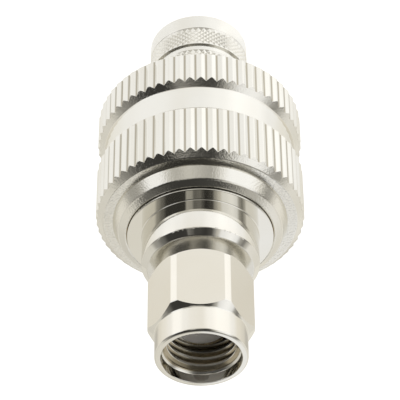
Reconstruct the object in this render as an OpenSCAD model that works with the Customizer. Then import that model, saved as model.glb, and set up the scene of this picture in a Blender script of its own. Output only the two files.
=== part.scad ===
// A cable plug for the 6.35 mm coaxial interface, reverse polarity: a hexagon coupling nut at the
// nose, a stepped body, a free-turning knurled ring, and a knurled stem for the cable's braid.
// The connector's axis is Z. Z = 0 is the open end of the stem and +Z points out of the nose.

/* [Coupling ring] */
// Diameter of the coupling ring over its teeth
ring_d = 18.08; // [16.2:0.02:20]
// Depth of the plain groove between the two toothed bands, and of the chamfers at their ends
groove_depth = 0.62; // [0.3:0.02:0.8]
// Length of the toothed band at the cable end, with both chamfers
rear_band_len = 4.0; // [3:0.1:5]
// Length of the plain groove between the bands
groove_len = 2.45; // [1.5:0.05:4]
// Length of the toothed band at the nose end, with both chamfers
front_band_len = 5.8; // [4:0.1:7]
// Number of teeth round each band
teeth = 60; // [48:2:72]
// Depth of the V-groove between two teeth
tooth_depth = 0.24; // [0.15:0.01:0.3]
// Width of the flat land left on the crest of a tooth
tooth_land = 0.1; // [0.05:0.01:0.2]
// Angle of the first tooth, from the +X axis
tooth_turn = 4.9; // [0:0.1:6]
// Thickness of the ring's open skirt, from its teeth to its bore
skirt_wall = 1.59; // [1.3:0.01:1.7]
// Width of the flat nose face, from the teeth to the rounded boss
face_width = 1.47; // [1.1:0.01:1.6]
// Width of the rounded boss, from its foot to the bore that turns on the body's shoulder
boss_width = 1.22; // [1.1:0.01:1.4]
// Height of the boss above the nose face
boss_h = 1.45; // [1.2:0.05:1.8]
// Radius of the boss's rounded edge
boss_round = 1.1; // [0.8:0.05:1.15]
// Length of the lip's bore
lip_len = 1.8; // [1.6:0.05:2.2]

/* [Cable stem] */
// Diameter of the stem's plain lip
stem_d = 8.9; // [8.8:0.05:9.4]
// Bore of the stem, which takes the cable's dielectric
stem_bore_d = 7.3; // [6.8:0.1:7.4]
// Diameter of the stem between and behind its knurled bands
stem_neck_d = 8.3; // [8.2:0.05:8.4]
// Length of the plain lip at the open end
stem_lip_len = 1.6; // [1:0.1:2]
// Length of one diamond-knurled band
grip_len = 1.9; // [1.4:0.1:2.2]
// Length of the plain groove between the two knurled bands
grip_gap = 0.9; // [0.5:0.1:1.2]
// Depth of the diamond knurl
grip_depth = 0.2; // [0.15:0.01:0.22]
// Number of diamonds round a band
grip_count = 54; // [40:2:60]
// Number of rows of diamonds along a band
grip_rows = 4; // [3:1:5]
// Length of the stem outside the coupling ring
stem_reach = 9.1; // [8.2:0.1:12]
// Thickness of the flange that seats against the body
stem_flange_len = 0.8; // [0.6:0.1:1.2]
// Length of the stem's spigot inside the body
spigot_len = 4.9; // [4:0.1:5]

/* [Body] */
// Diameter of the body in front of the coupling ring
body_d = 10.08; // [9.6:0.02:11]
// Length of the body in front of its shoulder
body_len = 3.55; // [3:0.05:5]
// Chamfer round the body's front edge
body_chamfer = 0.5; // [0.3:0.05:0.8]
// Gap between the ring's skirt and the flange that its lip pulls on
flange_gap = 0.2; // [0.1:0.05:0.4]
// Thickness of that flange
flange_len = 1.5; // [1:0.1:2]
// Diameter of the body inside the ring's skirt
barrel_d = 12.2; // [11.4:0.1:13]
// Bore at the back of the body, for the stem and the rear insulator
socket_d = 9.2; // [9:0.05:9.6]
// Length of the rear insulator
rear_insulator_len = 3.0; // [2.4:0.1:3.4]
// Diameter of the air space between the two insulators
air_d = 8.0; // [7.7:0.1:8.2]
// Thickness of the wall that the front insulator seats on
web_len = 0.6; // [0.4:0.1:0.8]
// Length of the front insulator's head
head_len = 1.4; // [1:0.1:1.8]

/* [Nose] */
// Diameter of the neck that carries the hexagon nut
neck_d = 6.4; // [6.2:0.05:6.5]
// Diameter of the neck's shoulder, which the back of the nut runs against
neck_shoulder_d = 6.95; // [6.8:0.05:7.4]
// Diameter of the sleeve's spigot inside the body
nose_spigot_d = 5.8; // [5.6:0.05:6]
// Length of that spigot
nose_spigot_len = 2.55; // [2:0.05:3]
// Outside diameter of the outer contact sleeve
sleeve_d = 4.6; // [4.58:0.01:4.62]
// Diameter of the dielectric in the sleeve
dielectric_d = 4.1; // [4.08:0.01:4.14]
// Free length of the outer contact sleeve
sleeve_len = 2.0; // [1.8:0.05:2.2]
// Depth of the contact plane below the nut's mouth
contact_depth = 3.1; // [2.7:0.05:3.3]
// Thickness of the gasket at the foot of the sleeve
gasket_len = 0.65; // [0.4:0.05:0.7]
// Outside diameter of the gasket
gasket_d = 6.2; // [5.9:0.05:6.3]
// Diameter of the step at the foot of the sleeve, which centres the gasket
gasket_seat_d = 5.0; // [4.95:0.05:5.2]

/* [Hexagon nut] */
// Width of the hexagon across its flats
nut_af = 8.0; // [7.9:0.01:8.2]
// Diameter over the turned corners of the hexagon
corner_d = 8.92; // [8.7:0.02:9.1]
// Length of the nut
nut_len = 8.5; // [8:0.05:9.5]
// Diameter of the round collar at the mouth
collar_d = 7.74; // [7.4:0.02:7.8]
// Length of the round collar
collar_len = 2.4; // [1.6:0.05:2.6]
// Smallest diameter of the nut's internal thread
thread_bore_d = 5.74; // [5.7:0.01:5.75]
// Diameter of the plain mouth in front of the thread
mouth_d = 6.72; // [6.5:0.02:6.9]
// Depth of the plain mouth
mouth_depth = 0.85; // [0.5:0.05:1.1]
// Gap between the body and the back of the nut
nut_gap = 0.85; // [0.5:0.05:1.2]

/* [Centre contact] */
// Depth of the contact's face behind the front of the dielectric
contact_recess = 1.2; // [0.1:0.1:1.5]
// Diameter of the contact in the nose
contact_d = 1.27; // [1.2:0.01:1.3]
// Bore of the socket, for the mating pin
contact_bore_d = 0.94; // [0.92:0.01:0.96]
// Depth of the socket's bore
contact_bore_len = 2.6; // [2:0.1:3.5]
// Width of the slots between the socket's fingers
slot_w = 0.15; // [0.1:0.01:0.2]
// Diameter of the contact between the insulators
middle_d = 3.0; // [2.8:0.1:3.2]
// Diameter of the contact inside the rear insulator
waist_d = 2.4; // [2.2:0.1:2.7]
// Diameter of the solder pot
pot_d = 3.4; // [3.3:0.05:3.8]
// Bore of the solder pot, for the cable's inner conductor
pot_bore_d = 2.8; // [2.6:0.05:2.9]
// Length of the solder pot behind the rear insulator
pot_len = 3.8; // [3:0.1:4]
// Depth of the solder pot's bore
pot_bore_len = 3.2; // [2.4:0.1:3.4]

/* [Snap rings] */
// Thickness of both snap rings
snap_len = 0.5; // [0.4:0.05:0.5]
// Radial width of the hexagon nut's snap ring
nut_snap_w = 0.6; // [0.5:0.05:0.6]
// Radial width of the coupling ring's snap ring
ring_snap_w = 0.95; // [0.8:0.05:1]
// Angle of the gap in each snap ring
snap_gap = 40; // [20:5:60]

/* [Clearances] */
// Radial running clearance of each turning piece
run_clear = 0.1; // [0.06:0.01:0.1]
// Axial play of each turning piece, and of a snap ring in its groove
axial_clear = 0.05; // [0.03:0.01:0.08]
// Radial clearance of an insulator on the metal round it
seat_clear = 0.02; // [0.01:0.01:0.04]

/* [Hidden] */
$fn = 96;
edge_break = 0.1;
overlap = 0.01;

// Stations along the axis, from the stem's open end to the nut's mouth.
ring_z0 = stem_reach;
ring_face_z = ring_z0 + rear_band_len + groove_len + front_band_len;
lip_z = ring_face_z + boss_h;
lip_back_z = lip_z - lip_len;
shoulder_z = lip_z + 0.2;
flange_z = lip_back_z - 2 * axial_clear;
body_z = shoulder_z + body_len;
nut_z0 = body_z + nut_gap;
mouth_z = nut_z0 + nut_len;
contact_z = mouth_z - contact_depth;
sleeve_z0 = contact_z - sleeve_len;
neck_z = sleeve_z0 - gasket_len - axial_clear;
stem_flange_z = ring_z0 + 0.4;
body_z0 = stem_flange_z + stem_flange_len;
spigot_z = body_z0 + spigot_len;
air_z0 = spigot_z + rear_insulator_len;
head_z0 = body_z - nose_spigot_len - head_len;
air_z1 = head_z0 - web_len;

// Radii that one piece takes from another.
ring_r = ring_d / 2;
skirt_r = ring_r - skirt_wall;
boss_r = ring_r - face_width;
lip_r = boss_r - boss_width;
flange_r = skirt_r - flange_gap;
shoulder_r = lip_r - run_clear;
nut_bore_r = neck_d / 2 + run_clear;

// Snap ring seats: the ring grips the inner groove and reaches into the outer one.
nut_snap_r = nut_bore_r + 0.15;
nut_snap_z = nut_z0 + 1.5;
ring_snap_r = lip_r + 0.3;
ring_snap_z = (lip_back_z + lip_z) / 2 - 0.25;

// A solid of revolution from an outline of [radius, height] points.
module turned(outline) {
    rotate_extrude() polygon(outline);
}

// A plain tube between two heights.
module tube(r_out, r_in, z0, z1) {
    turned([[r_in, z0], [r_out, z0], [r_out, z1], [r_in, z1]]);
}

// The room that a snap ring takes: a groove from radius r_in out to r_out.
module snap_groove(r_in, r_out, z) {
    tube(r_out, r_in, z - axial_clear, z + snap_len + axial_clear);
}

// A split ring of flat wire.
module snap_ring(r_out, width, z) {
    difference() {
        tube(r_out, r_out - width, z, z + snap_len);
        translate([0, 0, z - overlap])
            linear_extrude(snap_len + 2 * overlap)
                polygon([[0, 0],
                         2 * r_out * [cos(90 - snap_gap / 2), sin(90 - snap_gap / 2)],
                         2 * r_out * [cos(90 + snap_gap / 2), sin(90 + snap_gap / 2)]]);
    }
}

// The outline of the teeth: V-grooves to the full depth, with crests that stand a little above
// the ring's diameter, so that turning the ring to size leaves a narrow land on each one.
function tooth_points() =
    let (pitch = PI * ring_d / teeth,
         valley_r = ring_r - tooth_depth,
         crest_r = valley_r + tooth_depth * pitch / (pitch - tooth_land))
    [for (i = [0 : teeth - 1], half = [0, 1])
        let (a = tooth_turn + 360 * (i + half / 2) / teeth)
        (half == 0 ? crest_r : valley_r) * [cos(a), sin(a)]];

// Half of the ring's section: two chamfered bands with a groove between, and the rounded boss.
module ring_outline() {
    z1 = ring_z0 + rear_band_len;
    z2 = z1 + groove_len;
    groove_r = ring_r - groove_depth;
    polygon([[0, ring_z0], [groove_r, ring_z0],
             [ring_r, ring_z0 + groove_depth], [ring_r, z1 - groove_depth], [groove_r, z1],
             [groove_r, z2], [ring_r, z2 + groove_depth],
             [ring_r, ring_face_z - groove_depth], [groove_r, ring_face_z],
             [boss_r, ring_face_z], [boss_r, lip_z - boss_round],
             [boss_r - boss_round, lip_z - boss_round], [boss_r - boss_round, lip_z], [0, lip_z]]);
    intersection() {
        translate([boss_r - boss_round, lip_z - boss_round]) circle(boss_round);
        translate([boss_r - boss_round - overlap, lip_z - boss_round - overlap])
            square(boss_round + 2 * overlap);
    }
}

// The space inside the ring: the skirt, the lip's bore with broken edges and the snap ring's groove.
module ring_hollow() {
    turned([[0, ring_z0 - 1], [skirt_r + 0.3, ring_z0 - 1], [skirt_r + 0.3, ring_z0],
            [skirt_r, ring_z0 + 0.3], [skirt_r, lip_back_z], [lip_r, lip_back_z],
            [lip_r, lip_z - edge_break], [lip_r + edge_break, lip_z],
            [lip_r + edge_break, lip_z + 1], [0, lip_z + 1]]);
    snap_groove(shoulder_r, ring_snap_r + run_clear, ring_snap_z);
}

// The free-turning ring, with straight teeth cut along both bands.
module coupling_ring() {
    color("gainsboro")
        difference() {
            intersection() {
                rotate_extrude() ring_outline();
                translate([0, 0, ring_z0 - 1])
                    linear_extrude(lip_z - ring_z0 + 2) polygon(tooth_points());
            }
            ring_hollow();
        }
}

module ring_snap_ring() {
    color("silver") snap_ring(ring_snap_r, ring_snap_w, ring_snap_z);
}

// The turned body: nose cylinder, shoulder, flange and barrel, bored from both ends.
module body() {
    color("gainsboro")
        difference() {
            turned([[0, body_z0], [barrel_d / 2, body_z0], [barrel_d / 2, flange_z - flange_len],
                    [flange_r, flange_z - flange_len], [flange_r, flange_z],
                    [shoulder_r, flange_z], [shoulder_r, shoulder_z - edge_break],
                    [shoulder_r - edge_break, shoulder_z], [body_d / 2, shoulder_z],
                    [body_d / 2, body_z - body_chamfer], [body_d / 2 - body_chamfer, body_z],
                    [0, body_z]]);
            turned([[0, body_z0 - 1], [socket_d / 2, body_z0 - 1], [socket_d / 2, air_z0],
                    [air_d / 2, air_z0], [air_d / 2, air_z1], [dielectric_d / 2, air_z1],
                    [dielectric_d / 2, head_z0], [nose_spigot_d / 2, head_z0],
                    [nose_spigot_d / 2, body_z + 1], [0, body_z + 1]]);
            snap_groove(ring_snap_r - ring_snap_w - axial_clear, ring_snap_r, ring_snap_z);
        }
}

// The nose piece: a spigot pressed into the body, the nut's neck and the outer contact sleeve.
module nose_sleeve() {
    stop_z = nut_z0 - axial_clear;
    seat_r = gasket_seat_d / 2;
    seat_z = sleeve_z0 - axial_clear;
    color("gainsboro")
        difference() {
            turned([[0, body_z - nose_spigot_len], [nose_spigot_d / 2, body_z - nose_spigot_len],
                    [nose_spigot_d / 2, body_z], [neck_shoulder_d / 2, body_z],
                    [neck_shoulder_d / 2, stop_z], [neck_d / 2, stop_z], [neck_d / 2, neck_z],
                    [seat_r, neck_z], [seat_r, seat_z], [sleeve_d / 2, seat_z],
                    [sleeve_d / 2, contact_z], [0, contact_z]]);
            translate([0, 0, body_z - nose_spigot_len - 1])
                cylinder(d = dielectric_d, h = contact_z - body_z + nose_spigot_len + 2);
            snap_groove(nut_snap_r - nut_snap_w - axial_clear, nut_snap_r, nut_snap_z);
        }
}

// One diamond-knurled band. Crests and valleys alternate round the band and along it, so each
// crest is the point of a four-sided diamond and the valleys run as two crossing spirals. The
// knurl runs out at both ends, where every point lies at the depth of the valleys.
module diamond_band(z0) {
    columns = 2 * grip_count;
    rows = 2 * grip_rows;
    crest_r = stem_d / 2 - 0.02;
    function at(i, j) = (i % columns) + j * columns;
    function drop(i, j) = j == 0 || j == rows || (i + j) % 2 == 1 ? grip_depth : 0;
    points = [for (j = [0 : rows], i = [0 : columns - 1])
        let (a = 360 * i / columns, r = crest_r - drop(i, j))
        [r * cos(a), r * sin(a), z0 + j * grip_len / rows]];
    sides = [for (j = [0 : rows - 1], i = [0 : columns - 1], half = [0, 1])
        (i + j) % 2 == 0
            ? (half == 0 ? [at(i, j), at(i, j + 1), at(i + 1, j)]
                         : [at(i + 1, j), at(i, j + 1), at(i + 1, j + 1)])
            : (half == 0 ? [at(i, j), at(i + 1, j + 1), at(i + 1, j)]
                         : [at(i, j), at(i, j + 1), at(i + 1, j + 1)])];
    ends = [[for (i = [0 : columns - 1]) at(i, 0)],
            [for (i = [columns - 1 : -1 : 0]) at(i, rows)]];
    polyhedron(points, concat(sides, ends));
}

// The stem that the cable's braid is crimped on, with a spigot pressed into the body.
module cable_stem() {
    spigot_r = socket_d / 2;
    bore_z = body_z0 + overlap;
    color("gainsboro")
        difference() {
            union() {
                turned([[0, 0], [stem_d / 2 - edge_break, 0], [stem_d / 2, edge_break],
                        [stem_d / 2, stem_lip_len], [stem_neck_d / 2, stem_lip_len],
                        [stem_neck_d / 2, stem_flange_z], [barrel_d / 2, stem_flange_z],
                        [barrel_d / 2, body_z0], [spigot_r, body_z0], [spigot_r, spigot_z],
                        [0, spigot_z]]);
                diamond_band(stem_lip_len);
                diamond_band(stem_lip_len + grip_len + grip_gap);
            }
            turned([[0, -1], [stem_bore_d / 2, -1], [stem_bore_d / 2, bore_z],
                    [air_d / 2, bore_z], [air_d / 2, spigot_z + 1], [0, spigot_z + 1]]);
        }
}

// The dielectric of the nose, with a head held between the nose piece and the body's wall.
module front_insulator() {
    head_z1 = body_z - nose_spigot_len;
    color("white")
        difference() {
            turned([[0, head_z0], [nose_spigot_d / 2 - seat_clear, head_z0],
                    [nose_spigot_d / 2 - seat_clear, head_z1],
                    [dielectric_d / 2 - seat_clear, head_z1],
                    [dielectric_d / 2 - seat_clear, contact_z - axial_clear],
                    [0, contact_z - axial_clear]]);
            translate([0, 0, head_z0 - 1])
                cylinder(d = contact_d + 2 * seat_clear, h = contact_z - head_z0 + 2);
        }
}

module rear_insulator() {
    color("white")
        tube(socket_d / 2 - seat_clear, waist_d / 2 + seat_clear, spigot_z, air_z0);
}

// The one-piece centre contact: a slotted socket in the nose and a solder pot at the cable end.
module centre_contact() {
    tip_z = contact_z - axial_clear - contact_recess;
    middle_z = head_z0 - 2 * web_len;
    color("gold")
        difference() {
            turned([[0, spigot_z - pot_len], [pot_d / 2, spigot_z - pot_len], [pot_d / 2, spigot_z],
                    [waist_d / 2, spigot_z], [waist_d / 2, air_z0], [middle_d / 2, air_z0],
                    [middle_d / 2, middle_z], [contact_d / 2, middle_z], [contact_d / 2, tip_z],
                    [0, tip_z]]);
            translate([0, 0, tip_z - contact_bore_len])
                cylinder(d = contact_bore_d, h = contact_bore_len + 1);
            translate([0, 0, spigot_z - pot_len - 1])
                cylinder(d = pot_bore_d, h = pot_bore_len + 1);
            for (a = [45, 135])
                rotate([0, 0, a])
                    translate([-contact_d, -slot_w / 2, tip_z - contact_bore_len + 0.4])
                        cube([2 * contact_d, slot_w, contact_bore_len]);
        }
}

module gasket() {
    color("firebrick")
        tube(gasket_d / 2, gasket_seat_d / 2 + seat_clear, neck_z, neck_z + gasket_len);
}

// The hexagon nut, turned at its corners, with a chamfer at each end of the hexagon, a round
// collar at the mouth, and the bores for the thread, the neck and the snap ring.
module hex_nut() {
    corner_r = corner_d / 2;
    collar_r = collar_d / 2;
    hex_z1 = mouth_z - collar_len;
    end_chamfer = corner_r - collar_r;
    mouth_r = mouth_d / 2;
    thread_r = thread_bore_d / 2;
    mouth_z0 = mouth_z - mouth_depth;
    color("gainsboro")
        difference() {
            intersection() {
                turned([[0, nut_z0], [collar_r, nut_z0], [corner_r, nut_z0 + end_chamfer],
                        [corner_r, hex_z1 - end_chamfer], [collar_r, hex_z1],
                        [collar_r, mouth_z - edge_break], [collar_r - edge_break, mouth_z],
                        [0, mouth_z]]);
                translate([0, 0, nut_z0 - 1])
                    cylinder(r = nut_af / 2 / cos(30), h = nut_len + 2, $fn = 6);
            }
            turned([[0, nut_z0 - 1], [nut_bore_r, nut_z0 - 1], [nut_bore_r, sleeve_z0],
                    [thread_r, sleeve_z0], [thread_r, mouth_z0 - mouth_r + thread_r],
                    [mouth_r, mouth_z0], [mouth_r, mouth_z + 1], [0, mouth_z + 1]]);
            snap_groove(neck_d / 2, nut_snap_r + run_clear, nut_snap_z);
        }
}

module nut_snap_ring() {
    color("silver") snap_ring(nut_snap_r, nut_snap_w, nut_snap_z);
}

body();
nose_sleeve();
cable_stem();
front_insulator();
rear_insulator();
centre_contact();
gasket();
hex_nut();
nut_snap_ring();
coupling_ring();
ring_snap_ring();
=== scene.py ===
# %% [markdown]
# # A knurled cable plug in bright nickel
# This notebook dresses the CAD model of a coaxial cable plug. The CAD model says where every
# piece sits and how it moves. Here the pieces that show get rounded edges, a real thread and
# finishes, and then a floor, lights and a camera.

# %% Load the frame and keep its box
import math

import bmesh
import bpy
from mathutils import Matrix, Vector


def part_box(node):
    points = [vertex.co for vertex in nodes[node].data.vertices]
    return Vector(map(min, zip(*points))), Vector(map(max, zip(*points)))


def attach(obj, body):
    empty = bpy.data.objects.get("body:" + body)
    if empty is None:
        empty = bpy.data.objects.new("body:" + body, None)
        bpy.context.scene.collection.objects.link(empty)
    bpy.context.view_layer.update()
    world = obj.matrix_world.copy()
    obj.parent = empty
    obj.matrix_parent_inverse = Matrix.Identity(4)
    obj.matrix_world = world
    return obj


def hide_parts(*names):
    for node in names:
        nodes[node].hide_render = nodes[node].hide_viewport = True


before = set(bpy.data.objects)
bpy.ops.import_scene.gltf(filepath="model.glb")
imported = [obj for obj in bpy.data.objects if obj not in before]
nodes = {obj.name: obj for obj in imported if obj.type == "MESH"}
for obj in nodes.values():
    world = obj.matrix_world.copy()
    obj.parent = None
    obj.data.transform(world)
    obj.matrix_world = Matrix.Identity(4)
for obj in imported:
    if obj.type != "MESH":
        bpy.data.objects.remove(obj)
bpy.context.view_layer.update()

# %% [markdown]
# The camera comes first, so that every later choice can be looked at. It stands 176 mm from the
# middle of the plug and 41 degrees above it. It is turned upside down, so that the nose points
# to the bottom of the picture, as when the plug lies with its nose towards the viewer.

# %% Camera
MM = 0.001
CAMERA_ELEVATION = math.radians(41.33)
CAMERA_DISTANCE = 176.0 * MM
CAMERA_AIM = Vector((0, 0, 18.64 * MM))
CAMERA_ROLL = math.radians(0.544)

camera = bpy.data.objects.new("camera", bpy.data.cameras.new("camera"))
bpy.context.scene.collection.objects.link(camera)
camera.data.lens = 181.4
camera.data.clip_start, camera.data.clip_end = 0.01, 10
back = Vector((0, -math.cos(CAMERA_ELEVATION), math.sin(CAMERA_ELEVATION)))
across = Vector((-1, 0, 0))
down = Vector((0, math.sin(CAMERA_ELEVATION), math.cos(CAMERA_ELEVATION)))
right = math.cos(CAMERA_ROLL) * across + math.sin(CAMERA_ROLL) * down
up = math.sin(CAMERA_ROLL) * across - math.cos(CAMERA_ROLL) * down
camera.matrix_world = Matrix.LocRotScale(
    CAMERA_AIM + CAMERA_DISTANCE * back, Matrix((right, up, back)).transposed(), None)
bpy.context.scene.camera = camera
print("camera at", [round(v / MM, 1) for v in camera.matrix_world.translation], "mm")

# %% [markdown]
# Every metal piece here was turned on a lathe. Blender can draw such a piece as a curve with a
# Screw modifier or as a stack of cylinders. Spinning a drawn section is closest to the lathe:
# `outline` draws half of the section from radii and heights in millimetres, `ease` rounds its
# corners, and `turn` spins it round the axis.

# %% Helpers for turned pieces
EDGE_HOLD = 0.04  # mm from a corner within which a rounded edge may bend the shading


def outline(points):
    """A bmesh with one closed outline in the XZ plane, from points of (radius, height) in mm."""
    bm = bmesh.new()
    verts = [bm.verts.new((r * MM, 0, z * MM)) for r, z in points]
    for here, there in zip(verts, verts[1:] + verts[:1]):
        bm.edges.new((here, there))
    return bm


def ease(bm, width, segments, *corners):
    """Rounds the outline's corners nearest to the given (radius, height) points by width mm."""
    picked = [min(bm.verts, key=lambda v: math.hypot(v.co.x / MM - r, v.co.z / MM - z))
              for r, z in corners]
    bmesh.ops.bevel(bm, geom=picked, offset=width * MM, segments=segments, profile=0.5,
                    affect="VERTICES", clamp_overlap=True, material=-1)
    return bm


def turn(bm, steps):
    """Spins the outline once round the Z axis and points its faces outwards.

    Smooth shading would spread a rounded corner over the wide face beside it. So each long
    line first gets a point close to either end, which keeps the rest of the face flat.
    """
    for edge in [e for e in bm.edges if e.calc_length() > 8 * EDGE_HOLD * MM]:
        for vert in edge.verts[:]:
            edge = max(vert.link_edges, key=lambda e: e.calc_length())
            bmesh.utils.edge_split(edge, vert, EDGE_HOLD * MM / edge.calc_length())
    bmesh.ops.spin(bm, geom=bm.verts[:] + bm.edges[:], cent=(0, 0, 0), axis=(0, 0, 1),
                   angle=2 * math.pi, steps=steps, use_merge=True)
    bmesh.ops.remove_doubles(bm, verts=bm.verts[:], dist=1e-7)
    bmesh.ops.recalc_face_normals(bm, faces=bm.faces[:])
    return bm


def make_piece(bm, name, crease=32):
    """Turns a bmesh into an object, smooth apart from edges sharper than crease degrees."""
    mesh = bpy.data.meshes.new(name)
    bm.to_mesh(mesh)
    bm.free()
    piece = bpy.data.objects.new(name, mesh)
    bpy.context.scene.collection.objects.link(piece)
    mesh.shade_smooth()
    mesh.set_sharp_from_angle(angle=math.radians(crease))
    return piece


def machine(piece, tool, operation, crease=32):
    """Cuts piece with tool by a Boolean modifier, applies it, and throws the tool away."""
    cut = piece.modifiers.new("cut", "BOOLEAN")
    cut.operation, cut.solver, cut.object = operation, "EXACT", tool
    ready = piece.evaluated_get(bpy.context.evaluated_depsgraph_get())
    mesh = bpy.data.meshes.new_from_object(ready)
    piece.modifiers.clear()
    old = piece.data
    piece.data = mesh
    bpy.data.meshes.remove(old)
    bpy.data.objects.remove(tool)
    mesh.name = piece.name
    mesh.shade_smooth()
    mesh.set_sharp_from_angle(angle=math.radians(crease))


def describe(piece):
    """Prints how big a piece is and how many faces it has."""
    low = Vector([min(v.co[i] for v in piece.data.vertices) for i in range(3)]) / MM
    high = Vector([max(v.co[i] for v in piece.data.vertices) for i in range(3)]) / MM
    print(piece.name, "from", [round(v, 2) for v in low], "to", [round(v, 2) for v in high],
          "mm,", len(piece.data.polygons), "faces")


def station(node, end):
    """Height of a node's lowest (0) or highest (1) point, in mm."""
    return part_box(node)[end][2] / MM


# %% [markdown]
# The coupling ring is turned from bar, with two raised bands and a rounded boss at the nose end.
# The boss isn't a plain quarter circle: it leans in gently and then turns over quickly, which is
# why its reflection changes so suddenly. Two straight flanks with a wide bevel between them
# give that, and thin bevels break the other edges as a tumbled part's are broken.

# %% Coupling ring: the turned blank
RING_Z0, LIP_Z = station("coupling_ring", 0), station("coupling_ring", 1)
RING_R = 9.04
GROOVE_R, BOSS_R, LIP_R, SKIRT_R = 8.42, 7.57, 6.35, 7.45
CHAMFER = RING_R - GROOVE_R
REAR_Z1, FRONT_Z0, FACE_Z = RING_Z0 + 4.0, RING_Z0 + 6.45, RING_Z0 + 12.25
LIP_BACK_Z, SNAP_Z = LIP_Z - 1.8, LIP_Z - 1.15
SKIM = 0.02  # the blank stands this much above the teeth, which trim it to size

ring_blank = outline([
    (SKIRT_R + 0.3, RING_Z0), (GROOVE_R, RING_Z0),
    (RING_R + SKIM, RING_Z0 + CHAMFER + SKIM), (RING_R + SKIM, REAR_Z1 - CHAMFER - SKIM),
    (GROOVE_R, REAR_Z1), (GROOVE_R, FRONT_Z0),
    (RING_R + SKIM, FRONT_Z0 + CHAMFER + SKIM), (RING_R + SKIM, FACE_Z - CHAMFER - SKIM),
    (GROOVE_R, FACE_Z), (BOSS_R, FACE_Z), (BOSS_R, FACE_Z + 0.08), (BOSS_R - 0.49, LIP_Z - 0.31),
    (LIP_R + 0.12, LIP_Z), (LIP_R, LIP_Z - 0.06), (LIP_R, SNAP_Z + 0.55),
    (LIP_R + 0.4, SNAP_Z + 0.55), (LIP_R + 0.4, SNAP_Z - 0.05), (LIP_R, SNAP_Z - 0.05),
    (LIP_R, LIP_BACK_Z), (SKIRT_R, LIP_BACK_Z), (SKIRT_R, RING_Z0 + 0.3)])
ease(ring_blank, 0.12, 5, (BOSS_R - 0.49, LIP_Z - 0.31))
ease(ring_blank, 0.04, 3, (BOSS_R, FACE_Z + 0.08))
ease(ring_blank, 0.05, 3, (GROOVE_R, RING_Z0), (GROOVE_R, REAR_Z1), (GROOVE_R, FRONT_Z0),
     (GROOVE_R, FACE_Z), (LIP_R + 0.12, LIP_Z))
coupling_ring = make_piece(turn(ring_blank, 360), "coupling_ring_turned")
describe(coupling_ring)

# %% [markdown]
# Both bands carry sixty straight teeth: V-grooves at 6 degrees, with a narrow land left on each
# crest. A rolling tool would press them, a broach would cut them. Here one tooth's outline is
# drawn, spun into all sixty, filled and pulled up into a star-shaped prism. What the blank and
# the prism share is the ring, so the teeth fade out on the bands' chamfers as real ones do.

# %% Coupling ring: the teeth
TEETH, TOOTH_DEPTH, TOOTH_LAND = 60, 0.24, 0.10
TOOTH_TURN = math.radians(4.9 - 90)

tooth_pitch = 2 * math.pi / TEETH
half_land = TOOTH_LAND / RING_R / 2
teeth = bmesh.new()
tooth = [(RING_R - TOOTH_DEPTH, -tooth_pitch / 2), (RING_R, -half_land), (RING_R, half_land),
         (RING_R - TOOTH_DEPTH, tooth_pitch / 2)]
chain = [teeth.verts.new((r * MM * math.cos(a + TOOTH_TURN), r * MM * math.sin(a + TOOTH_TURN), 0))
         for r, a in tooth]
for here, there in zip(chain, chain[1:]):
    teeth.edges.new((here, there))
bmesh.ops.spin(teeth, geom=teeth.verts[:] + teeth.edges[:], cent=(0, 0, 0), axis=(0, 0, 1),
               angle=2 * math.pi, steps=TEETH, use_duplicate=True)
bmesh.ops.remove_doubles(teeth, verts=teeth.verts[:], dist=1e-7)
bmesh.ops.bevel(teeth, geom=teeth.verts[:], offset=0.03 * MM, segments=2, profile=0.5,
                affect="VERTICES", clamp_overlap=True, material=-1)
bmesh.ops.contextual_create(teeth, geom=teeth.edges[:])
grown = bmesh.ops.extrude_face_region(teeth, geom=teeth.faces[:])["geom"]
bmesh.ops.translate(teeth, verts=[v for v in grown if isinstance(v, bmesh.types.BMVert)],
                    vec=(0, 0, (LIP_Z + 2) * MM))
bmesh.ops.recalc_face_normals(teeth, faces=teeth.faces[:])
machine(coupling_ring, make_piece(teeth, "knurling_tool"), "INTERSECT")
describe(coupling_ring)
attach(coupling_ring, "coupling_ring")
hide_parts("coupling_ring")

# %% [markdown]
# The body is one turned piece: a barrel that hides inside the ring, a flange that the ring's lip
# pulls on, a shoulder that fills the lip's bore with a thin gap, and the plain nose cylinder. A
# small fillet where the cylinder meets the shoulder catches a line of light, as the tool's
# rounded tip leaves it, so that inner corner is eased as well as the outer ones.

# %% Body
BODY_Z0, BODY_Z = station("body", 0), station("body", 1)
SHOULDER_R, SHOULDER_Z, BODY_R = LIP_R - 0.05, LIP_Z + 0.2, 5.04
FLANGE_Z, GRIP_R = LIP_BACK_Z - 0.1, LIP_R - 0.7
SOCKET_R, AIR_R, BORE_R, NOSE_SEAT_R = 4.6, 4.0, 2.05, 2.9

body_outline = outline([
    (SOCKET_R, BODY_Z0), (6.1, BODY_Z0), (6.1, FLANGE_Z - 1.5), (7.25, FLANGE_Z - 1.5),
    (7.25, FLANGE_Z), (SHOULDER_R, FLANGE_Z), (SHOULDER_R, SNAP_Z - 0.05),
    (GRIP_R, SNAP_Z - 0.05), (GRIP_R, SNAP_Z + 0.55), (SHOULDER_R, SNAP_Z + 0.55),
    (SHOULDER_R, SHOULDER_Z), (BODY_R, SHOULDER_Z), (BODY_R, BODY_Z - 0.5),
    (BODY_R - 0.5, BODY_Z), (NOSE_SEAT_R, BODY_Z), (NOSE_SEAT_R, BODY_Z - 3.95),
    (BORE_R, BODY_Z - 3.95), (BORE_R, BODY_Z - 4.55), (AIR_R, BODY_Z - 4.55),
    (AIR_R, BODY_Z0 + 7.9), (SOCKET_R, BODY_Z0 + 7.9)])
ease(body_outline, 0.05, 3, (SHOULDER_R, SHOULDER_Z))
ease(body_outline, 0.07, 4, (BODY_R, SHOULDER_Z))
ease(body_outline, 0.04, 2, (BODY_R, BODY_Z - 0.5), (BODY_R - 0.5, BODY_Z))
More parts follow.
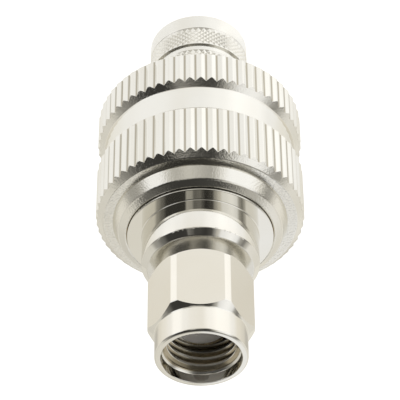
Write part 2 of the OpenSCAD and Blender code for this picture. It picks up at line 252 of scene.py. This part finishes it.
body = make_piece(turn(body_outline, 256), "body_turned")
describe(body)
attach(body, "connector")
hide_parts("body")

# %% [markdown]
# The coupling nut starts as a round blank too. Six flats are milled off it with a cutting plane,
# which leaves the curved scallops where each flat meets the turned chamfer, and the narrow round
# strips at the six corners. `holes_fill` closes the cut, as the plane leaves the blank open.

# %% Nut: the blank and its six flats
NUT_Z0, MOUTH_Z = station("hex_nut", 0), station("hex_nut", 1)
FLAT, CORNER_R, COLLAR_R, MOUTH_R = 4.0, 4.46, 3.87, 3.36
NECK_BORE_R, THREAD_R, THREAD_Z0 = 3.3, 2.87, MOUTH_Z - 5.1
HEX_Z1, MOUTH_Z0 = MOUTH_Z - 2.4, MOUTH_Z - 0.85
END_CHAMFER = CORNER_R - COLLAR_R
RIM_CHAMFER = 0.12

nut_outline = outline([
    (NECK_BORE_R, NUT_Z0), (COLLAR_R, NUT_Z0), (CORNER_R, NUT_Z0 + END_CHAMFER),
    (CORNER_R, HEX_Z1 - END_CHAMFER), (COLLAR_R, HEX_Z1), (COLLAR_R, MOUTH_Z - RIM_CHAMFER),
    (COLLAR_R - RIM_CHAMFER, MOUTH_Z), (MOUTH_R, MOUTH_Z), (MOUTH_R, MOUTH_Z0),
    (THREAD_R, MOUTH_Z0 - MOUTH_R + THREAD_R), (THREAD_R, THREAD_Z0), (NECK_BORE_R, THREAD_Z0)])
ease(nut_outline, 0.03, 2, (COLLAR_R, MOUTH_Z - RIM_CHAMFER), (COLLAR_R - RIM_CHAMFER, MOUTH_Z))
ease(nut_outline, 0.04, 2, (MOUTH_R, MOUTH_Z), (MOUTH_R, MOUTH_Z0))
ease(nut_outline, 0.06, 2, (COLLAR_R, NUT_Z0), (COLLAR_R, HEX_Z1),
     (CORNER_R, NUT_Z0 + END_CHAMFER), (CORNER_R, HEX_Z1 - END_CHAMFER))
nut_blank = turn(nut_outline, 240)
for side in range(6):
    angle = math.radians(60 * side + 30)
    outwards = Vector((math.cos(angle), math.sin(angle), 0))
    bmesh.ops.bisect_plane(nut_blank, geom=nut_blank.verts[:] + nut_blank.edges[:] + nut_blank.faces[:],
                           dist=1e-8, plane_co=outwards * FLAT * MM, plane_no=outwards,
                           clear_outer=True)
    rim = [e for e in nut_blank.edges if e.is_boundary]
    bmesh.ops.holes_fill(nut_blank, edges=rim, sides=0)
    bmesh.ops.remove_doubles(nut_blank, verts=nut_blank.verts[:], dist=2e-7)
bmesh.ops.recalc_face_normals(nut_blank, faces=nut_blank.faces[:])
hex_nut = make_piece(nut_blank, "hex_nut_tapped", 20)
describe(hex_nut)

# %% [markdown]
# Inside the nut runs a 36-to-the-inch thread. A ring of separate grooves would look almost the
# same from here, but a thread is one groove that climbs. So a tap is made: the groove's section
# is spun round the axis and moved up by one pitch a turn, right-handed, and a Boolean takes it
# out of the bore. The section reaches a little inside the bore, so the cut is clean.

# %% Nut: the thread
PITCH, MAJOR_R = 25.4 / 36, 3.175
TURN_STEPS, TAP_TURNS = 96, 7
TAP_Z0 = MOUTH_Z0 - 4.69

groove_half, root_half, overshoot = 0.265, 0.075, 0.07
slope = (groove_half - root_half) / (MAJOR_R - THREAD_R)
section = [(THREAD_R - overshoot, -groove_half - overshoot * slope), (MAJOR_R, -root_half),
           (MAJOR_R, root_half), (THREAD_R - overshoot, groove_half + overshoot * slope)]
tap = bmesh.new()
tap.faces.new([tap.verts.new((r * MM, 0, (TAP_Z0 + z) * MM)) for r, z in section])
bmesh.ops.spin(tap, geom=tap.verts[:] + tap.edges[:] + tap.faces[:], cent=(0, 0, 0),
               axis=(0, 0, 1), dvec=(0, 0, PITCH * MM / TURN_STEPS),
               angle=2 * math.pi * TAP_TURNS, steps=TURN_STEPS * TAP_TURNS)
bmesh.ops.recalc_face_normals(tap, faces=tap.faces[:])
machine(hex_nut, make_piece(tap, "tap"), "DIFFERENCE", 20)
describe(hex_nut)
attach(hex_nut, "hex_nut")
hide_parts("hex_nut")

# %% [markdown]
# The stem is a thin tube that goes under the cable's braid. It is turned first, with a plain lip
# at its open end and a step down to the neck that the knurled bands stand on.

# %% Cable stem: the turned tube
STEM_R, STEM_NECK_R, STEM_BORE_R = 4.45, 4.15, 3.65
LIP_LEN, STEM_FLANGE_Z, SPIGOT_LEN = 1.6, RING_Z0 + 0.4, 4.9

stem_outline = outline([
    (STEM_BORE_R, 0), (STEM_R, 0), (STEM_R, LIP_LEN), (STEM_NECK_R, LIP_LEN),
    (STEM_NECK_R, STEM_FLANGE_Z), (6.1, STEM_FLANGE_Z), (6.1, BODY_Z0), (SOCKET_R, BODY_Z0),
    (SOCKET_R, BODY_Z0 + SPIGOT_LEN), (AIR_R, BODY_Z0 + SPIGOT_LEN), (AIR_R, BODY_Z0 + 0.01),
    (STEM_BORE_R, BODY_Z0 + 0.01)])
ease(stem_outline, 0.08, 3, (STEM_R, 0), (STEM_R, LIP_LEN), (STEM_BORE_R, 0))
stem = make_piece(turn(stem_outline, 216), "cable_stem_turned")
describe(stem)
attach(stem, "connector")
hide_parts("cable_stem")

# %% [markdown]
# Two bands of the stem are diamond-knurled, so that the braid can't slip. The knurling tool
# presses two crossing sets of spiral grooves. Cutting both sets would take a hundred Booleans,
# so each band is spun from a straight line of points instead, every second point is pushed in,
# and each square is split between its two low points. That leaves four-sided diamonds.

# %% Cable stem: the diamond knurl
GRIP_Z, GRIP_LEN, GRIP_ROWS, GRIP_COUNT = (1.6, 4.4), 1.9, 4, 54
GRIP_CREST_R, GRIP_VALLEY_R = STEM_R - 0.02, STEM_R - 0.13

grip_bands = []
for number, z0 in enumerate(GRIP_Z, 1):
    band = bmesh.new()
    rows = 2 * GRIP_ROWS
    line = [band.verts.new((MM, 0, (z0 + GRIP_LEN * j / rows) * MM)) for j in range(rows + 1)]
    for here, there in zip(line, line[1:]):
        band.edges.new((here, there))
    bmesh.ops.spin(band, geom=band.verts[:] + band.edges[:], cent=(0, 0, 0), axis=(0, 0, 1),
                   angle=2 * math.pi, steps=2 * GRIP_COUNT, use_merge=True)
    bmesh.ops.remove_doubles(band, verts=band.verts[:], dist=1e-7)
    low = set()
    for v in band.verts:
        j = round((v.co.z / MM - z0) / GRIP_LEN * rows)
        i = round(math.atan2(v.co.y, v.co.x) / math.pi * GRIP_COUNT)
        pressed = (i + j) % 2 or j in (0, rows)
        v.co.xy *= GRIP_VALLEY_R if pressed and j else GRIP_CREST_R
        if pressed:
            low.add(v)
    for face in band.faces[:]:
        loop = list(face.verts)
        first = next(k for k, v in enumerate(loop) if v in low and loop[k - 2] in low)
        bmesh.utils.face_split(face, loop[first], loop[first - 2])
    middle = (z0 + GRIP_LEN / 2) * MM
    foot = [e for e in band.edges if e.is_boundary and e.verts[0].co.z > middle]
    for part in bmesh.ops.extrude_edge_only(band, edges=foot)["geom"]:
        if isinstance(part, bmesh.types.BMVert):
            part.co.xy *= (STEM_NECK_R - 0.01) / GRIP_VALLEY_R
    bmesh.ops.recalc_face_normals(band, faces=band.faces[:])
    grip = make_piece(band, f"grip_band_{number}", 12)
    describe(grip)
    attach(grip, "connector")
    grip_bands.append(grip)

# %% [markdown]
# Every finish below is built from shader nodes, so that it has detail at any distance. Two small
# helpers keep that short: `linear` turns the sRGB colours that people write into the linear ones
# that the renderer counts in, and `add` makes a node, fills its settings and links its inputs.

# %% Material helpers
def linear(hex_colour):
    """An sRGB colour such as "C8C2B4" as Blender's linear RGBA."""
    parts = [int(hex_colour[i:i + 2], 16) / 255 for i in (0, 2, 4)]
    return (*[c / 12.92 if c <= 0.04045 else ((c + 0.055) / 1.055) ** 2.4 for c in parts], 1)


def add(tree, kind, settings=None):
    """Adds a node. A setting is a value, or a node or an output that feeds the input."""
    node = tree.nodes.new(kind)
    for key, value in (settings or {}).items():
        if not isinstance(key, int) and key not in node.inputs:
            setattr(node, key, value)
        elif isinstance(value, bpy.types.Node):
            tree.links.new(value.outputs[0], node.inputs[key])
        elif isinstance(value, bpy.types.NodeSocket):
            tree.links.new(value, node.inputs[key])
        else:
            node.inputs[key].default_value = value
    return node


def new_material(name):
    """A material with an empty node tree, and the Object coordinates that its patterns use."""
    material = bpy.data.materials.new(name)
    material.use_nodes = True
    tree = material.node_tree
    tree.nodes.clear()
    return material, tree, add(tree, "ShaderNodeTexCoord").outputs["Object"]


def dress(material, *pieces):
    """Gives pieces this material alone."""
    for piece in pieces:
        piece.data.materials.clear()
        piece.data.materials.append(material)
    print(material.name, "with", len(material.node_tree.nodes), "nodes on",
          ", ".join(piece.name for piece in pieces))


# %% [markdown]
# A turned piece shows its lathe lines: fine rings, all at one radius and height. A noise that
# reads only those two numbers draws them on faces, cones and cylinders alike, which a plain wave
# texture can't. `lathe_place` works them out in millimetres, so pattern sizes can be read off.

# %% Coordinates of a turned piece
def lathe_place(tree, place):
    """From Object coordinates: the radius and the height in mm, and both as one vector."""
    in_mm = add(tree, "ShaderNodeVectorMath", {"operation": "SCALE", 0: place, "Scale": 1 / MM})
    parts = add(tree, "ShaderNodeSeparateXYZ", {0: in_mm})
    flat = add(tree, "ShaderNodeCombineXYZ", {"X": parts.outputs["X"], "Y": parts.outputs["Y"]})
    radius = add(tree, "ShaderNodeVectorMath", {"operation": "LENGTH", 0: flat}).outputs["Value"]
    both = add(tree, "ShaderNodeCombineXYZ", {"X": radius, "Y": parts.outputs["Z"]})
    return radius, parts.outputs["Z"], both


def between(tree, value, low, high, soft):
    """1 where value lies between low and high, fading to 0 over soft on both sides."""
    rise = add(tree, "ShaderNodeMapRange", {"interpolation_type": "SMOOTHSTEP", "Value": value,
                                            "From Min": low - soft, "From Max": low})
    fall = add(tree, "ShaderNodeMapRange", {"interpolation_type": "SMOOTHSTEP", "Value": value,
                                            "From Min": high, "From Max": high + soft,
                                            "To Min": 1.0, "To Max": 0.0})
    return add(tree, "ShaderNodeMath", {"operation": "MULTIPLY", 0: rise, 1: fall})


# %% [markdown]
# The metal is brass with a bright nickel plate. Nickel is a warm white metal that mirrors about
# four fifths of the light. Plating levels the brass under it but keeps a trace of the turning,
# and it grows a slight grain of its own, like orange peel, where the polishing wheel doesn't
# reach. So one function makes the plate, with four things to choose: how blurred the mirror is,
# how deep the lathe lines are, how deep the grain is, and where the grain lies.
# Real lathe lines are some 0.05 mm apart. That is too fine to show here, so they are drawn at
# 0.12 mm, and the grain of 0.05 mm is drawn at 0.14 mm.

# %% Bright nickel plate
NICKEL, NICKEL_WARM = "E8E7E2", "E3E0D7"


def nickel_plate(name, blur=0.06, line_depth=0.0004, grain_depth=0.0, grain_where=None):
    """Bright nickel over turned brass. Depths are in mm. Gives material, tree, shader, place."""
    material, tree, place = new_material(name)
    radius, height, both = lathe_place(tree, place)
    stain = add(tree, "ShaderNodeTexNoise", {"Vector": place, "Scale": 1 / (4 * MM), "Detail": 3.0})
    colour = add(tree, "ShaderNodeMix", {"data_type": "RGBA", 0: stain, 6: linear(NICKEL),
                                         7: linear(NICKEL_WARM)}).outputs[2]
    lines = add(tree, "ShaderNodeTexNoise", {"Vector": both, "Scale": 1 / 0.12, "Detail": 2.0})
    normal = add(tree, "ShaderNodeBump", {"Height": lines, "Distance": line_depth * MM})
    haze = add(tree, "ShaderNodeMapRange", {"Value": stain, "From Min": 0.3, "From Max": 0.7,
                                            "To Min": 0.8 * blur, "To Max": 1.3 * blur})
    if grain_depth:
        grain = add(tree, "ShaderNodeTexNoise", {"Vector": place, "Scale": 1 / (0.14 * MM),
                                                 "Detail": 2.0, "Roughness": 0.6})
        if grain_where:
            grain = add(tree, "ShaderNodeMath", {
                "operation": "MULTIPLY", 0: grain, 1: grain_where(tree, radius, height)})
        normal = add(tree, "ShaderNodeBump", {"Height": grain, "Distance": grain_depth * MM,
                                              "Normal": normal})
    shader = add(tree, "ShaderNodeBsdfPrincipled", {
        "Base Color": colour, "Metallic": 1.0, "Roughness": haze, "Normal": normal})
    add(tree, "ShaderNodeOutputMaterial", {"Surface": shader})
    return material, tree, shader, (radius, height, both)


# %% [markdown]
# The ring has seen the most work. Its boss and its chamfers are grainy, its plain groove and the
# teeth are bright, and a grey painted shade lies in the bottom of every V-groove, where shade
# falls, which is what draws the thin lines between the teeth. The painted shade is found by its
# radius: only the grooves' bottoms are nearer to the axis than 8.87 mm at the height of the bands.

# %% Ring: grain on the chamfers, painted shade between the teeth
# Painted shade: the grey given to the bottom of every V-groove between the teeth.
VALLEY_SHADE = "ADA798"


def worn_places(tree, radius, height):
    """The ring's cones and boss: everything but the plain cylinders of its bands and groove."""
    groove = between(tree, height, REAR_Z1 + 0.05, FRONT_Z0 - 0.05, 0.1)
    rear = between(tree, height, RING_Z0 + CHAMFER, REAR_Z1 - CHAMFER, 0.05)
    front = between(tree, height, FRONT_Z0 + CHAMFER, FACE_Z - CHAMFER, 0.05)
    plain = add(tree, "ShaderNodeMath", {"operation": "ADD", 0: groove, 1: rear})
    plain = add(tree, "ShaderNodeMath", {"operation": "ADD", 0: plain, 1: front, "use_clamp": True})
    return add(tree, "ShaderNodeMath", {"operation": "SUBTRACT", 0: 1.0, 1: plain})


ring_plate, tree, shader, (radius, height, both) = nickel_plate(
    "nickel_plate_grainy", blur=0.05, line_depth=0.0003, grain_depth=0.016,
    grain_where=worn_places)
# Painted shade: the grooves' bottoms on both bands get the grey, for the shade that falls there.
valley = between(tree, radius, 8.70, 8.82, 0.06)
rear = between(tree, height, RING_Z0 + 0.45, REAR_Z1 - 0.45, 0.03)
front = between(tree, height, FRONT_Z0 + 0.45, FACE_Z - 0.45, 0.03)
banded = add(tree, "ShaderNodeMath", {"operation": "ADD", 0: rear, 1: front, "use_clamp": True})
painted_valley_shade = add(tree, "ShaderNodeMath", {"operation": "MULTIPLY", 0: valley, 1: banded})
plain_colour = shader.inputs["Base Color"].links[0].from_socket
add(tree, "ShaderNodeMix", {"data_type": "RGBA", 0: painted_valley_shade, 6: plain_colour,
                            7: linear(VALLEY_SHADE)})
tree.links.new(tree.nodes[-1].outputs[2], shader.inputs["Base Color"])
dress(ring_plate, coupling_ring)

# %% [markdown]
# The body is the best polished piece. Its front face was cut last and never polished, so it is
# softer, and handling has nicked the edges of its chamfer. The nicks are a noise cut off at a
# high level, so that only a few small specks are left, and only within 0.1 mm of the edges.

# %% Body: a satin front face and nicked edges
body_plate, tree, shader, (radius, height, both) = nickel_plate(
    "nickel_plate_polished", blur=0.05, line_depth=0.0005)
satin = add(tree, "ShaderNodeMapRange", {"Value": height, "From Min": BODY_Z - 0.05,
                                         "From Max": BODY_Z - 0.01, "To Min": 0.0, "To Max": 0.16})
haze = shader.inputs["Roughness"].links[0].from_socket
softer = add(tree, "ShaderNodeMath", {"operation": "ADD", 0: haze, 1: satin})
edge = between(tree, height, BODY_Z - 0.54, BODY_Z - 0.46, 0.05)
place = next(n for n in tree.nodes if n.type == "TEX_COORD").outputs["Object"]
speck = add(tree, "ShaderNodeTexNoise", {"Vector": place, "Scale": 1 / (0.25 * MM), "Detail": 2.0})
nick = add(tree, "ShaderNodeMapRange", {"Value": speck, "From Min": 0.6, "From Max": 0.66})
nick = add(tree, "ShaderNodeMath", {"operation": "MULTIPLY", 0: nick, 1: edge})
dented = add(tree, "ShaderNodeBump", {"Height": nick, "Distance": -0.02 * MM,
                                      "Normal": shader.inputs["Normal"].links[0].from_socket})
tree.links.new(softer.outputs[0], shader.inputs["Roughness"])
tree.links.new(dented.outputs[0], shader.inputs["Normal"])
dress(body_plate, body, nodes["nose_sleeve"])

# %% [markdown]
# The nut's flats are milled. The cutter leaves fine hairlines that run across the flat, and they
# are long and thin: a noise stretched ten times along X and Y and squeezed along Z. The thread
# inside is as it was tapped: dull, since little plating gets in there. Its grooves get a painted
# shade, darker and browner than the plate outside, for the shade deep in them. Real hairlines
# are 0.02 mm apart and are drawn at 0.15 mm.

# %% Nut: hairlines on the flats, a dull thread inside, painted shade in its grooves
# Painted shade: the colour of the thread's grooves deep inside the nut.
THREAD_GROOVE_SHADE = "B2A892"
nut_plate, tree, shader, (radius, height, both) = nickel_plate(
    "nickel_plate_milled", blur=0.07, line_depth=0.0)
place = next(n for n in tree.nodes if n.type == "TEX_COORD").outputs["Object"]
stretched = add(tree, "ShaderNodeMapping", {"Vector": place, "Scale": (400, 400, 6500)})
hairs = add(tree, "ShaderNodeTexNoise", {"Vector": stretched, "Scale": 1.0, "Detail": 3.0})
brushed = add(tree, "ShaderNodeBump", {"Height": hairs, "Distance": 0.0006 * MM})
tree.links.new(brushed.outputs[0], shader.inputs["Normal"])
inside = between(tree, radius, 2.5, MOUTH_R - 0.08, 0.05)
deep = between(tree, height, NUT_Z0 - 1, MOUTH_Z0 - 0.1, 0.15)
tapped = add(tree, "ShaderNodeMath", {"operation": "MULTIPLY", 0: inside, 1: deep})
dull = add(tree, "ShaderNodeMapRange", {"Value": tapped, "To Min": 0.0, "To Max": 0.1})
bare = add(tree, "ShaderNodeMapRange", {"Value": tapped, "To Min": 1.0, "To Max": 0.85})
# Painted shade: the bottoms of the thread's grooves get the darker, browner colour.
groove = between(tree, radius, THREAD_R + 0.06, MAJOR_R, 0.04)
groove = add(tree, "ShaderNodeMath", {"operation": "MULTIPLY", 0: groove, 1: tapped})
shaded_groove_colour = add(tree, "ShaderNodeMix", {
    "data_type": "RGBA", 0: groove, 6: shader.inputs["Base Color"].links[0].from_socket,
    7: linear(THREAD_GROOVE_SHADE)})
tree.links.new(bare.outputs[0], shader.inputs["Metallic"])
tree.links.new(shaded_groove_colour.outputs[2], shader.inputs["Base Color"])
haze = shader.inputs["Roughness"].links[0].from_socket
rough = add(tree, "ShaderNodeMath", {"operation": "ADD", 0: haze, 1: dull})
tree.links.new(rough.outputs[0], shader.inputs["Roughness"])
dress(nut_plate, hex_nut)

# %% [markdown]
# The knurled stem is plated as it left the knurling tool, so it is the least mirror-like: the
# rolled diamonds have rounded, slightly torn crests that sparkle.

# %% Stem: satin plate over knurling
stem_plate, tree, shader, _ = nickel_plate(
    "nickel_plate_satin", blur=0.16, line_depth=0.0008, grain_depth=0.008,
    grain_where=lambda tree, radius, height: between(tree, height, LIP_LEN, 6.3, 0.05))
dress(stem_plate, stem, *grip_bands)

# %% [markdown]
# The dielectric is PTFE, turned from rod: a waxy white plastic that light enters a little way.
# That light is what lifts its shadows, so the surface scatters light within 0.3 mm. It is soft
# and takes the lathe's lines easily, and its sheen is low.

# %% Insulators: turned PTFE
ptfe, tree, place = new_material("ptfe_turned")
radius, height, both = lathe_place(tree, place)
lines = add(tree, "ShaderNodeTexNoise", {"Vector": both, "Scale": 1 / 0.1, "Detail": 2.0})
cloud = add(tree, "ShaderNodeTexNoise", {"Vector": place, "Scale": 1 / (1.2 * MM), "Detail": 2.0})
colour = add(tree, "ShaderNodeMix", {"data_type": "RGBA", 0: cloud, 6: linear("F7F5F4"),
                                     7: linear("EFECEB")}).outputs[2]
haze = add(tree, "ShaderNodeMapRange", {"Value": lines, "To Min": 0.35, "To Max": 0.5})
normal = add(tree, "ShaderNodeBump", {"Height": lines, "Distance": 0.002 * MM})
shader = add(tree, "ShaderNodeBsdfPrincipled", {
    "Base Color": colour, "Roughness": haze, "IOR": 1.35, "Normal": normal,
    "Subsurface Weight": 0.3, "Subsurface Radius": (1.0, 1.0, 0.9),
    "Subsurface Scale": 0.3 * MM})
add(tree, "ShaderNodeOutputMaterial", {"Surface": shader})
dress(ptfe, nodes["front_insulator"], nodes["rear_insulator"])

# %% [markdown]
# The centre contact is beryllium copper with a gold plate, the only gold in the plug. It sits
# deep inside the dielectric, but whoever looks straight into the mouth sees it, so it gets a
# proper finish too: soft gold, a little blurred, with lathe lines.

# %% Contact: gold plate
gold, tree, place = new_material("gold_plate_on_beryllium_copper")
radius, height, both = lathe_place(tree, place)
lines = add(tree, "ShaderNodeTexNoise", {"Vector": both, "Scale": 1 / 0.1, "Detail": 2.0})
cloud = add(tree, "ShaderNodeTexNoise", {"Vector": place, "Scale": 1 / (0.8 * MM), "Detail": 2.0})
colour = add(tree, "ShaderNodeMix", {"data_type": "RGBA", 0: cloud, 6: linear("E8C678"),
                                     7: linear("DDB35F")}).outputs[2]
haze = add(tree, "ShaderNodeMapRange", {"Value": lines, "To Min": 0.14, "To Max": 0.26})
normal = add(tree, "ShaderNodeBump", {"Height": lines, "Distance": 0.0006 * MM})
shader = add(tree, "ShaderNodeBsdfPrincipled", {
    "Base Color": colour, "Metallic": 1.0, "Roughness": haze, "Normal": normal})
add(tree, "ShaderNodeOutputMaterial", {"Surface": shader})
dress(gold, nodes["centre_contact"])

# %% [markdown]
# The gasket at the foot of the sleeve is moulded silicone rubber. It is matt, a little uneven
# where the mould was grained, and a shade lighter where dust sticks to it.

# %% Gasket: silicone rubber
silicone, tree, place = new_material("silicone_rubber_moulded")
pores = add(tree, "ShaderNodeTexNoise", {"Vector": place, "Scale": 1 / (0.15 * MM), "Detail": 3.0})
dust = add(tree, "ShaderNodeTexNoise", {"Vector": place, "Scale": 1 / (0.9 * MM), "Detail": 3.0})
colour = add(tree, "ShaderNodeMix", {"data_type": "RGBA", 0: dust, 6: linear("9E3A33"),
                                     7: linear("B05A50")}).outputs[2]
haze = add(tree, "ShaderNodeMapRange", {"Value": pores, "To Min": 0.55, "To Max": 0.75})
normal = add(tree, "ShaderNodeBump", {"Height": pores, "Distance": 0.006 * MM})
shader = add(tree, "ShaderNodeBsdfPrincipled", {
    "Base Color": colour, "Roughness": haze, "IOR": 1.41, "Normal": normal})
add(tree, "ShaderNodeOutputMaterial", {"Surface": shader})
dress(silicone, nodes["gasket"])

# %% [markdown]
# The two snap rings are bent from flat spring bronze wire. Rolling the wire leaves long lines
# along it, and the bare bronze has gone brown in places.

# %% Snap rings: spring bronze
bronze, tree, place = new_material("spring_bronze_wire")
radius, height, both = lathe_place(tree, place)
lines = add(tree, "ShaderNodeTexNoise", {"Vector": both, "Scale": 1 / 0.08, "Detail": 2.0})
tarnish = add(tree, "ShaderNodeTexNoise", {"Vector": place, "Scale": 1 / (1.5 * MM), "Detail": 4.0})
colour = add(tree, "ShaderNodeMix", {"data_type": "RGBA", 0: tarnish, 6: linear("C9A26A"),
                                     7: linear("8F6B42")}).outputs[2]
haze = add(tree, "ShaderNodeMapRange", {"Value": tarnish, "To Min": 0.22, "To Max": 0.42})
normal = add(tree, "ShaderNodeBump", {"Height": lines, "Distance": 0.001 * MM})
shader = add(tree, "ShaderNodeBsdfPrincipled", {
    "Base Color": colour, "Metallic": 1.0, "Roughness": haze, "Normal": normal})
add(tree, "ShaderNodeOutputMaterial", {"Surface": shader})
dress(bronze, nodes["nut_snap_ring"], nodes["ring_snap_ring"])

# %% [markdown]
# Polished metal has hardly any look of its own: it shows what stands round it. A jewellery
# photographer therefore hangs a white tent round the piece and leaves dark gaps where the
# metal needs an edge. The world below is such a tent. Rings of its wall, from the floor to the
# roof, each get a ramp of brightness round the compass, and the height blends them.

# %% The tent: a ring of wall is a ramp round the compass
def compass(tree, direction):
    """The bearing of a vector as 0 to 1, with the viewer's side at 0.5 and +X after it."""
    parts = add(tree, "ShaderNodeSeparateXYZ", {0: direction})
    towards = add(tree, "ShaderNodeMath", {"operation": "MULTIPLY", 0: parts.outputs["Y"], 1: -1.0})
    bearing = add(tree, "ShaderNodeMath", {"operation": "ARCTAN2", 0: parts.outputs["X"], 1: towards})
    return add(tree, "ShaderNodeMapRange", {"Value": bearing, "From Min": -math.pi,
                                            "From Max": math.pi}), parts.outputs["Z"]


def wall_ring(tree, bearing, stops, green=1.0, blue=1.0):
    """A ramp round the compass from {bearing in degrees: brightness}; 0 is the viewer's side.

    Cloth that isn't fully lit looks warmer, so what is below full brightness loses some blue.
    """
    ramp = add(tree, "ShaderNodeValToRGB", {"Fac": bearing})
    line = ramp.color_ramp
    line.interpolation = "EASE"
    places = sorted(stops.items())
    while len(line.elements) < len(places):
        line.elements.new(0.5)
    for element, (degrees, grey) in zip(line.elements, places):
        element.position = (degrees + 180) / 360
        warm = max(0.0, min(1.0, (1.0 - grey) / 0.15))
        element.color = (grey, grey * green * (1 - 0.03 * warm), grey * blue * (1 - 0.11 * warm), 1)
    return ramp.outputs["Color"]


def blend(tree, value, lower, upper, start, end):
    """Goes from one colour to the next while value goes from start to end."""
    share = add(tree, "ShaderNodeMapRange", {"interpolation_type": "SMOOTHSTEP", "Value": value,
                                             "From Min": start, "From Max": end})
    return add(tree, "ShaderNodeMix", {"data_type": "RGBA", 0: share, 6: lower, 7: upper}).outputs[2]


LOW_WALL = {-180: 0.80, -130: 0.86, -104: 0.9, -97: 0.6, -91: 0.28, -84: 0.28, -77: 0.8,
            -66: 1.15, -35: 1.16, -25: 0.9, -16: 0.42, 0: 0.55, 15: 0.68, 26: 0.5, 36: 0.6,
            46: 1.06, 64: 1.06, 73: 0.45, 84: 0.3, 94: 0.36, 103: 0.76, 112: 0.8, 180: 0.68}
MID_WALL = {-180: 1.0, -105: 0.92, -98: 0.5, -91: 0.26, -85: 0.4, -76: 1.0, -66: 1.14,
            -46: 1.0, -38: 0.7, -30: 0.4, -24: 0.08, -11: 0.04, -6: 0.1, 0: 0.2, 11: 0.17, 17: 0.42, 26: 0.46,
            30: 0.05, 42: 0.045, 68: 0.05, 80: 0.18, 92: 0.36, 104: 0.78, 125: 0.82, 180: 0.84}
HIGH_WALL = {-180: 0.05, -155: 0.12, -130: 0.45, -100: 0.55, -85: 0.35, -70: 0.85, -52: 0.9,
             -38: 0.35, -26: 0.08, -10: 0.045, 60: 0.05, 100: 0.12, 120: 0.2, 150: 0.08, 180: 0.05}
ROOF = {-180: 0.04, -110: 0.08, -60: 0.06, 180: 0.04}

world = bpy.data.worlds.new("light_tent")
bpy.context.scene.world = world
world.use_nodes = True
tent = world.node_tree
tent.nodes.clear()
looking = add(tent, "ShaderNodeTexCoord").outputs["Generated"]
bearing, rise = compass(tent, looking)
height = add(tent, "ShaderNodeMath", {"operation": "ARCSINE", 0: rise})
rings = [wall_ring(tent, bearing, stops) for stops in (LOW_WALL, MID_WALL, HIGH_WALL, ROOF)]
walls = rings[0]
for ring, (start, end) in zip(rings[1:], ((22, 32), (44, 51), (62, 74))):
    walls = blend(tent, height, walls, ring, math.radians(start), math.radians(end))
rays = add(tent, "ShaderNodeLightPath")
lit = add(tent, "ShaderNodeBackground", {"Color": walls})
plain = add(tent, "ShaderNodeBackground", {"Color": (1, 1, 1, 1)})
choice = add(tent, "ShaderNodeMixShader", {0: rays.outputs["Is Camera Ray"], 1: lit, 2: plain})
add(tent, "ShaderNodeOutputWorld", {"Surface": choice})
print("tent:", len(tent.nodes), "nodes")

# %% [markdown]
# The floor is a white sheet. For the camera it is plain white, and the metal sees a painted pool
# of light on it, brightest at the front left and fading out to the tent's own wall some 8 cm away.
# That part of its light is its own glow. The rest is light that falls on it, so the plug still
# casts a shadow there.

# %% Floor
# Painted light: the sheet's own glow round the compass, which the metal's reflections see.
SHEET_PAINTED_GLOW = {-180: 0.66, -140: 0.58, -120: 0.76, -100: 0.88, -80: 1.0, -60: 1.16, -40: 1.24,
         -20: 1.10, 0: 1.0, 20: 0.97, 40: 1.02, 60: 1.02, 80: 0.98, 100: 0.92, 120: 0.84,
         140: 0.58, 180: 0.66}
SHEET_RIM_PAINTED_GLOW = {-180: 0.60, -140: 0.50, -120: 0.74, -100: 0.85, -80: 1.0, -66: 1.16, -54: 1.2,
             -40: 1.22, -20: 1.10, 0: 0.93, 20: 0.95, 40: 1.02, 54: 1.16, 66: 1.16, 80: 0.98,
             100: 0.9, 120: 0.8, 140: 0.50, 180: 0.60}
floor_mesh = bmesh.new()
bmesh.ops.create_grid(floor_mesh, x_segments=1, y_segments=1, size=2)
floor = make_piece(floor_mesh, "floor")
paper, tree, place = new_material("white_paper")
bearing, _ = compass(tree, place)
reach = add(tree, "ShaderNodeVectorMath", {"operation": "LENGTH", 0: place}).outputs["Value"]
near, far = wall_ring(tree, bearing, SHEET_PAINTED_GLOW), wall_ring(tree, bearing, LOW_WALL)
outer = wall_ring(tree, bearing, SHEET_RIM_PAINTED_GLOW, green=0.98, blue=0.95)
sheet = blend(tree, reach, near, outer, 31 * MM, 39 * MM)
sheet = blend(tree, reach, sheet, far, 50 * MM, 90 * MM)
rays = add(tree, "ShaderNodeLightPath")
sheet = add(tree, "ShaderNodeMix", {"data_type": "RGBA", 0: rays.outputs["Is Camera Ray"],
                                    6: sheet, 7: (1.05, 1.05, 1.05, 1)}).outputs[2]
seen = add(tree, "ShaderNodeMath", {"operation": "MAXIMUM", 0: rays.outputs["Is Camera Ray"],
                                    1: rays.outputs["Is Glossy Ray"]})
seen = add(tree, "ShaderNodeMath", {"operation": "MAXIMUM", 0: seen,
                                    1: rays.outputs["Is Transmission Ray"]})
part = add(tree, "ShaderNodeMath", {"operation": "MULTIPLY", 0: seen, 1: 0.75})
fallen = add(tree, "ShaderNodeBsdfDiffuse", {"Color": linear("F6F5F1")})
# Painted light: the floor glows with the ramps above for reflections, and plain white for the camera.
glow = add(tree, "ShaderNodeEmission", {"Color": sheet, "Strength": 1.3})
mix = add(tree, "ShaderNodeMixShader", {0: part, 1: fallen, 2: glow})
add(tree, "ShaderNodeOutputMaterial", {"Surface": mix})
dress(paper, floor)

# %% [markdown]
# Last comes the plain view transform, so that colours come out as they are written.

# %% Finish
bpy.context.scene.view_settings.view_transform = "Standard"
